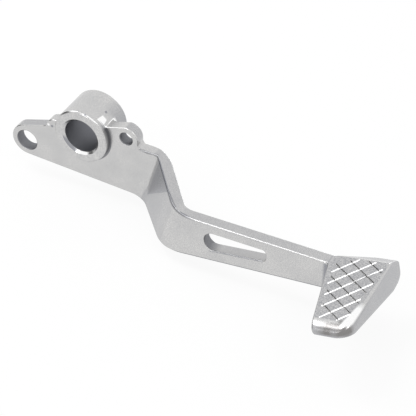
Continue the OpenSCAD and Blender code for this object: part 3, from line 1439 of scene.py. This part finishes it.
@dataclass(frozen=True)
class ArmMarks:
    """Marks of the arm: deep painted shade in the slot and along the belly, painted shade on its top, a painted
    highlight along its upper edge.
    """

    slot_shade: tuple[float, float] = (0.85, 0.23)
    belly_deep_shade: float = 0.7
    belly_shade: float = 0.8
    lid_shade: float = 0.26
    sill_shade: float = 0.9
    line_highlight: float = 0.3

    def over_sill(self, at: Spot) -> Value:
        """Height over the line of the slot's rising lower edge.

        Args:
            at: The shaded point.

        Returns:
            The height, negative below the edge.
        """
        cut = Openings()
        slope = (cut.slot_rear_height - cut.slot_front_height) / cut.slot_length
        rear = HeelAndArm().arm_top - cut.slot_cover - cut.slot_rear_height
        return at.z - (at.x - cut.slot_ahead) * slope - rear

    def belly(self, at: Spot) -> Value:
        """The arm's lower edge.

        Args:
            at: The shaded point.

        Returns:
            The mark, from 0 to 1.
        """
        return at.over(Edge.BELLY).below(0.75, 0.25) * at.x.between(58.0, 128.0, 4.0, 1.0)

    def scale(self, at: Spot) -> Value:
        """Deep painted shade on the slot's wall, most of all at its rear end, and along the belly.

        Args:
            at: The shaded point.

        Returns:
            The mark, from 0 to 1.
        """
        cut, strip = Openings(), HeelAndArm()
        deep, rest = self.slot_shade
        wall = at.z.below(strip.arm_top - cut.slot_cover + 0.4, 0.2) * self.over_sill(at).above(-0.4, 0.2)
        wall = wall * at.x.between(cut.slot_ahead - 0.4, cut.slot_ahead + cut.slot_length + 0.4, 0.2, 0.2)
        wall = wall * at.y.between(strip.arm_y + 0.2, strip.arm_y + strip.thickness - 0.2, 0.3, 0.3)
        # Deep painted shade, strongest at the slot's rear end
        wall = wall * (at.x.below(cut.slot_ahead + 7.0, 5.0) * (deep - rest) + rest)
        return wall.most(self.belly(at) * self.belly_deep_shade)

    def painted_shade_and_marks(self, at: Spot, speck: Value) -> Value:
        """Painted shade on the arm's top and belly, and a broken line of painted shade along the slot's lower edge.

        Args:
            at: The shaded point.
            speck: Fine noise that breaks the line.

        Returns:
            The mark.
        """
        cut, strip = Openings(), HeelAndArm()
        lid = at.z.above(strip.arm_top - 0.2, 0.15) * at.x.between(58.0, strip.arm_reach, 6.0, 0.3)
        sill = self.over_sill(at).between(-0.65, 0.1, 0.2, 0.2) * at.y.below(strip.arm_y + 0.6, 0.2)
        sill = sill * at.x.between(cut.slot_ahead + 2.0, cut.slot_ahead + cut.slot_length - 1.0, 1.0, 1.0)
        sill = sill * (speck * 1.6 - 0.1).clamped()
        # Painted shade on the arm's top, along the sill and on the belly
        mark = (lid * at.skin.above(0.4, 0.3) * self.lid_shade).most(sill * self.sill_shade)
        return mark.most(self.belly(at) * self.belly_shade)

    def bright(self, at: Spot) -> Value:
        """A painted highlight: a thin line along the upper outboard edge.

        Args:
            at: The shaded point.

        Returns:
            The mark, from 0 to 1.
        """
        strip = HeelAndArm()
        line = at.z.above(strip.arm_top - 0.38, 0.12) * at.y.below(strip.arm_y + 0.30, 0.12)
        # Painted highlight along the upper edge
        return line * at.x.between(64.0, strip.arm_reach - 1.0, 2.0, 1.0) * self.line_highlight


@dataclass(frozen=True)
class TreadMarks:
    """Marks of the tread: a grained top, painted shade on its foot, flank and crease, a painted dark reflection on the
    nose and a painted highlight on one corner.
    """

    flank_shade: float = 0.46
    root_shade: float = 0.9
    crease_shade: float = 0.5
    top_darkening: float = 0.38
    top_grain: float = 2.2

    def painted_shade_and_marks(self, at: Spot, speck: Value) -> Value:
        """The grained top, and painted shade on the flank, on the foot where the tread meets the arm and in the crease
        above it.

        Args:
            at: The shaded point.
            speck: Fine noise that grains the top.

        Returns:
            The mark.
        """
        tread = Tread()
        top = at.height.above(-0.10, 0.06) * at.x.above(tread.reach + 0.5, 0.5)
        flank = at.height.below(-0.7, 0.5) * at.x.above(tread.reach + 3.0, 3.0)
        root = at.x.between(tread.reach - 2.4, tread.reach + 1.6, 1.2, 1.0) * at.z.below(tread.top - 0.6, 0.6)
        root = root * at.y.between(tread.arm_y - 1.8, tread.arm_y + 0.6, 1.0, 0.4)
        crease = at.x.between(tread.reach - 0.7, tread.reach + 0.7, 0.5, 0.5) * at.z.above(tread.top - 0.6, 0.3)
        # Painted shade on the flank, the foot and the crease; the grained top is darker by its own finish
        mark = (flank * self.flank_shade).most(top * (self.top_darkening + (speck - 0.5) * self.top_grain))
        return mark.most(root * self.root_shade).most(crease * self.crease_shade)

    def dark_reflection(self, at: Spot) -> Value:
        """A painted dark reflection: a band across the nose that grows towards its front corner.

        Args:
            at: The shaded point.

        Returns:
            The mark, from 0 to 1.
        """
        tip = Tread().nose_y
        axes = (at.along, at.y, at.height)
        # Painted dark reflection across the nose
        band = (at.y - at.along * 0.07).below(tip + 2.9, 1.0) * at.along.above(10.5, 4.0) * at.height.above(-3.9, 0.8)
        band = band * (1.0 - ball(axes, (18.0, tip + 1.0, -2.6), 2.2) * 0.5)
        corner = ball(axes, (22.2, tip + 2.8, -2.0), 3.6)
        return band.most(corner).most(ball(axes, (19.6, tip + 4.6, -0.3), 1.6) * 0.7)

    def bright(self, at: Spot) -> Value:
        """A painted highlight on the front edge of the top, near the nose.

        Args:
            at: The shaded point.

        Returns:
            The mark, from 0 to 1.
        """
        # Painted highlight on the front edge near the nose
        edge = (at.along - (at.y + 48.0) * 0.20).above(22.2, 0.8) * at.height.above(-1.1, 0.6)
        return edge * at.y.between(-62.8, -47.0, 1.4, 4.0)


@dataclass(frozen=True)
class SatinAluminium:
    """Bare forged aluminium, blasted and lightly polished: fine grain, soft clouds, and painted highlights and shade in
    its colour.
    """

    light: Colour = (0.655, 0.65, 0.64, 1.0)
    dark: Colour = (0.49, 0.49, 0.498, 1.0)
    # Colour of the deep painted shade in holes and along edges
    scale: Colour = (0.135, 0.14, 0.16, 1.0)
    # Colour of the painted shade, also of the tread's grained top and the tube's pit
    shade: Colour = (0.285, 0.29, 0.315, 1.0)
    # Colour of the painted highlights
    glint: Colour = (0.97, 0.97, 0.97, 1.0)
    # Colour of the painted dark reflection on the nose
    reflection_dark: Colour = (0.25, 0.243, 0.24, 1.0)
    deep_shade_share: float = 0.88
    rough: tuple[float, float] = (0.20, 0.32)
    rough_on_deep_shade: float = 0.3
    rough_on_glint: float = -0.12
    cloud_scale: float = 90.0
    cloud_strength: float = 0.9
    grain_scale: float = 2600.0
    grain_strength: float = 2.6
    speck_scale: float = 1500.0
    wave_scale: float = 160.0
    # Pointiness lightens the edges: a painted highlight
    edge_highlight_gain: float = 6.0
    edge_highlight_share: float = 0.3
    bump: float = 0.12
    bump_depth: float = 0.0002
    boss: BossMarks = BossMarks()
    plate: PlateMarks = PlateMarks()
    bend: BendMarks = BendMarks()
    arm: ArmMarks = ArmMarks()
    tread: TreadMarks = TreadMarks()

    def make(self) -> bpy.types.Material:
        """Builds the material: metal mottled between light and dark, edges lightened as a painted highlight, then
        painted shade, a painted dark reflection, painted highlights and deep painted shade.

        Returns:
            The material.
        """
        finish = Finish("satin_aluminium")
        at = Spot(finish)
        speck = finish.noise(at.place, self.speck_scale)
        deep_shade_mask = self.boss.scale(at).most(self.plate.scale(at)).most(self.bend.scale(at)).most(self.arm.scale(at))
        shade_and_marks_mask = self.boss.painted_shade_and_marks(at).most(self.plate.painted_shade_and_marks(at)).most(self.bend.painted_shade_and_marks(at))
        shade_and_marks_mask = shade_and_marks_mask.most(self.arm.painted_shade_and_marks(at, speck)).most(self.tread.painted_shade_and_marks(at, speck))
        highlight_mask = self.boss.bright(at).most(self.arm.bright(at)).most(self.tread.bright(at))
        cloud = finish.noise(at.place, self.cloud_scale, 3.0)
        grain = finish.noise(at.place, self.grain_scale)
        # Painted highlight: convex edges lightened by pointiness
        edge = (finish.value(finish.node("NewGeometry"), "Pointiness") - 0.5) * self.edge_highlight_gain
        tone = (cloud - 0.5) * self.cloud_strength + (grain - 0.5) * self.grain_strength + 0.5
        colour = finish.mix((tone + edge.clamped() * self.edge_highlight_share).clamped(), self.dark, self.light)
        # Painted shade, with the tread's grained top and the tube's pit
        colour = finish.mix(shade_and_marks_mask.clamped(), colour, self.shade)
        # Painted dark reflection on the nose
        colour = finish.mix(self.tread.dark_reflection(at).clamped(), colour, self.reflection_dark)
        # Painted highlights
        colour = finish.mix(highlight_mask, colour, self.glint)
        # Deep painted shade in holes and along edges
        colour = finish.mix(deep_shade_mask * self.deep_shade_share, colour, self.scale)
        smooth, coarse = self.rough
        rough = smooth + (cloud * 0.5 + grain * 0.5) * (coarse - smooth)
        rough = rough + deep_shade_mask * self.rough_on_deep_shade + highlight_mask * self.rough_on_glint
        relief = grain * 0.6 + finish.noise(at.place, self.wave_scale, 1.0) * 0.4
        bump = finish.node("Bump", Strength=self.bump, Distance=self.bump_depth, Height=relief)
        metal = finish.node(
            "BsdfPrincipled", Base_Color=colour, Metallic=1.0, Roughness=rough, Normal=bump.outputs["Normal"]
        )
        finish.node("OutputMaterial", Surface=metal.outputs[0])
        return finish.material


@dataclass(frozen=True)
class StudioFloor:
    """White floor that keeps a faint shadow: plain diffuse paint, mostly hidden by a white glow when seen."""

    paint: Colour = (0.9, 0.9, 0.9, 1.0)
    glow: float = 0.87

    def make(self) -> bpy.types.Material:
        """Builds the material.

        Returns:
            The material.
        """
        finish = Finish("studio_floor")
        seen = finish.ray_kinds()[1]
        paint = finish.node("BsdfDiffuse", Color=self.paint)
        glow = finish.node("Emission", Color=WHITE, Strength=1.0)
        mixed = finish.node("MixShader", slots={0: seen * self.glow, 1: paint.outputs[0], 2: glow.outputs[0]})
        finish.node("OutputMaterial", Surface=mixed.outputs[0])
        return finish.material


# The pedal and its studio


@dataclass
class BrakePedal:
    """The whole forging, one closed mesh."""

    strip: HeelAndArm = field(default_factory=HeelAndArm)
    boss: PivotBoss = field(default_factory=PivotBoss)
    tread: Tread = field(default_factory=Tread)
    openings: Openings = field(default_factory=Openings)
    finish: SatinAluminium = field(default_factory=SatinAluminium)
    sharp_angle: float = 32.0
    flat_weight: int = 90

    def build(self) -> bpy.types.Object:
        """Joins the forms, cuts the openings and the grooves, and dresses the result.

        Returns:
            The finished piece.
        """
        s, b, o = self.strip, self.boss, self.openings
        body = s.shell().mesh("pedal_forging")
        cove = combine(b.cove_shell().mesh("cove"), self.cove_guard().mesh("guard"), Cut.KEEP_COMMON)
        for form in (b.shell().mesh("boss"), cove, self.tread.shell().mesh("tread")):
            combine(body, form, Cut.JOIN)
        tools = {
            "bore": o.hole((0, 0), o.bore, -b.ring_height, b.tube_length, o.bore_mouth),
            "eye": o.hole(s.eye, o.eye, 0, s.thickness, o.eye_mouth),
            "spring": o.hole(s.lug, o.spring, 0, s.thickness, o.eye_mouth),
            "slot": o.slot(s.arm_y, s.arm_y + s.thickness, s.arm_top, o.slot_mouth),
            "grooves_left": GripGrooves(self.tread).shell(-1),
            "grooves_right": GripGrooves(self.tread).shell(1),
        }
        for name, shell in tools.items():
            combine(body, shell.mesh(name), Cut.REMOVE)
        body.data.shade_smooth()
        body.data.set_sharp_from_angle(angle=math.radians(self.sharp_angle))
        even = body.modifiers.new("even_faces", "WEIGHTED_NORMAL")
        even.keep_sharp = True
        even.weight = self.flat_weight
        body.data.materials.clear()
        body.data.materials.append(self.finish.make())
        return body

    def cove_guard(self) -> Shell:
        """Block that keeps the cove no wider than the plate: the side outline at two values of y, and two lids.

        Returns:
            The closed block.
        """
        path = self.strip.side_outline()
        n = len(path)
        y = np.array([self.boss.plate - 2.0, self.boss.plate + self.boss.cove + 1.0])
        x, z = (np.tile(path[:, axis], (2, 1)) for axis in range(2))
        points = np.stack([x, np.repeat(y[:, None], n, axis=1), z], axis=2)
        lids = [np.arange(n)[None, ::-1], (n + np.arange(n))[None, :]]
        return Shell(points.reshape(-1, 3), [grid_faces(2, n, False, True), *lids])


@dataclass(frozen=True)
class Lamp:
    """Square soft lamp that looks at the pedal."""

    name: str
    direction: tuple[float, float, float]
    distance: float
    size: float
    power: float
    target: tuple[float, float, float] = (0.05, -0.02, -0.01)

    def hang(self) -> None:
        """Places the lamp at target + direction * distance, with its face to the target."""
        data = bpy.data.lights.new(self.name, "AREA")
        data.size, data.energy = self.size, self.power
        lamp = bpy.data.objects.new(self.name, data)
        lamp.location = Vector(self.target) + Vector(self.direction).normalized() * self.distance
        lamp.rotation_euler = (Vector(self.target) - lamp.location).to_track_quat("-Z", "Y").to_euler()
        bpy.context.scene.collection.objects.link(lamp)


@dataclass
class Studio:
    """Camera, white floor and world, and soft lamps."""

    place: tuple[float, float, float] = (0.28424, -0.44458, 0.38498)
    azimuth: float = 26.59
    elevation: float = 39.18
    focal_pixels: float = 1464.6
    frame_pixels: float = 416.0
    sensor: float = 36.0
    clip: tuple[float, float] = (0.01, 50.0)
    floor_z: float = -0.0318
    floor_half: float = 3.0
    world_light: float = 0.8
    dusk_depth: float = 0.92
    dusk_side: tuple[float, float] = (-0.79, 9.0)
    dusk_low: tuple[float, float] = (0.95, 3.3)
    lamps: tuple[Lamp, ...] = (
        Lamp("left", (-0.65, 0.10, 0.75), 0.8, 0.34, 1.0),
        Lamp("top", (-0.37, -0.05, 0.93), 0.9, 0.26, 1.2),
        Lamp("front", (-0.22, -0.72, 0.66), 0.9, 0.18, 0.5),
        Lamp("right", (0.64, -0.17, 0.75), 0.8, 0.28, 0.6),
        Lamp("back", (0.0, 0.98, 0.14), 0.8, 0.28, 0.8),
    )

    def camera(self) -> None:
        """Places the camera at the photograph's viewpoint; its lens is sensor * focal pixels / frame pixels."""
        data = bpy.data.cameras.new("camera")
        data.sensor_width = self.sensor
        data.lens = self.sensor * self.focal_pixels / self.frame_pixels
        data.clip_start, data.clip_end = self.clip
        camera = bpy.data.objects.new("camera", data)
        camera.location = self.place
        camera.rotation_euler = (math.radians(90 - self.elevation), 0.0, math.radians(self.azimuth))
        bpy.context.scene.collection.objects.link(camera)
        bpy.context.scene.camera = camera

    def floor(self) -> None:
        """Lays the floor as a flat square."""
        corners = np.array([(-1, -1), (1, -1), (1, 1), (-1, 1)]) * self.floor_half
        points = np.column_stack([corners, np.full(4, self.floor_z)])
        mesh = bpy.data.meshes.new("floor")
        mesh.from_pydata(points.tolist(), [], [(0, 1, 2, 3)])
        floor = bpy.data.objects.new("floor", mesh)
        bpy.context.scene.collection.objects.link(floor)
        floor.data.materials.append(StudioFloor().make())

    def dusk(self, nodes: Nodes) -> Value:
        """Dark part of the room, low down behind the heel plate, which the metal mirrors.

        It grows as slope * (edge - x) and slope * (edge - z) of the direction looked in, and is their product.

        Args:
            nodes: The world's nodes.

        Returns:
            How much light is missing there, from 0 to dusk_depth.
        """
        split = nodes.node("SeparateXYZ", Vector=nodes.node("TexCoord").outputs["Generated"])
        (side, side_slope), (low, low_slope) = self.dusk_side, self.dusk_low
        beside = (side - nodes.value(split, 0)) * side_slope
        under = (low - nodes.value(split, 2)) * low_slope
        return beside.clamped() * under.clamped() * self.dusk_depth

    def world(self) -> None:
        """White straight to the camera, white with the dusk in reflections, and a little lower as light."""
        world = bpy.data.worlds.new("studio")
        world.use_nodes = True
        bpy.context.scene.world = world
        nodes = Nodes(world.node_tree)
        camera, seen = nodes.ray_kinds()
        shade = 1.0 - self.dusk(nodes) * (1.0 - camera)
        strength = (self.world_light + seen * (1.0 - self.world_light)) * shade
        background = nodes.node("Background", Color=WHITE, Strength=strength)
        nodes.node("OutputWorld", Surface=background.outputs[0])

    def build(self) -> None:
        """Sets up the whole studio."""
        self.camera()
        self.floor()
        self.world()
        for lamp in self.lamps:
            lamp.hang()
        bpy.context.scene.view_settings.view_transform = "Standard"


def main() -> None:
    """Builds the pedal and its studio."""
    logging.basicConfig(level=logging.INFO, format="%(message)s")
    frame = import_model()
    LOG.info("frame: nodes %s", ", ".join(frame["nodes"]))
    pedal = BrakePedal().build()
    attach(pedal, "root")
    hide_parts("brake_pedal")
    LOG.info("pedal_forging: %d faces", len(pedal.data.polygons))
    Studio().build()
    LOG.info("studio: camera, floor, world and lamps")


if __name__ == "__main__":
    main()
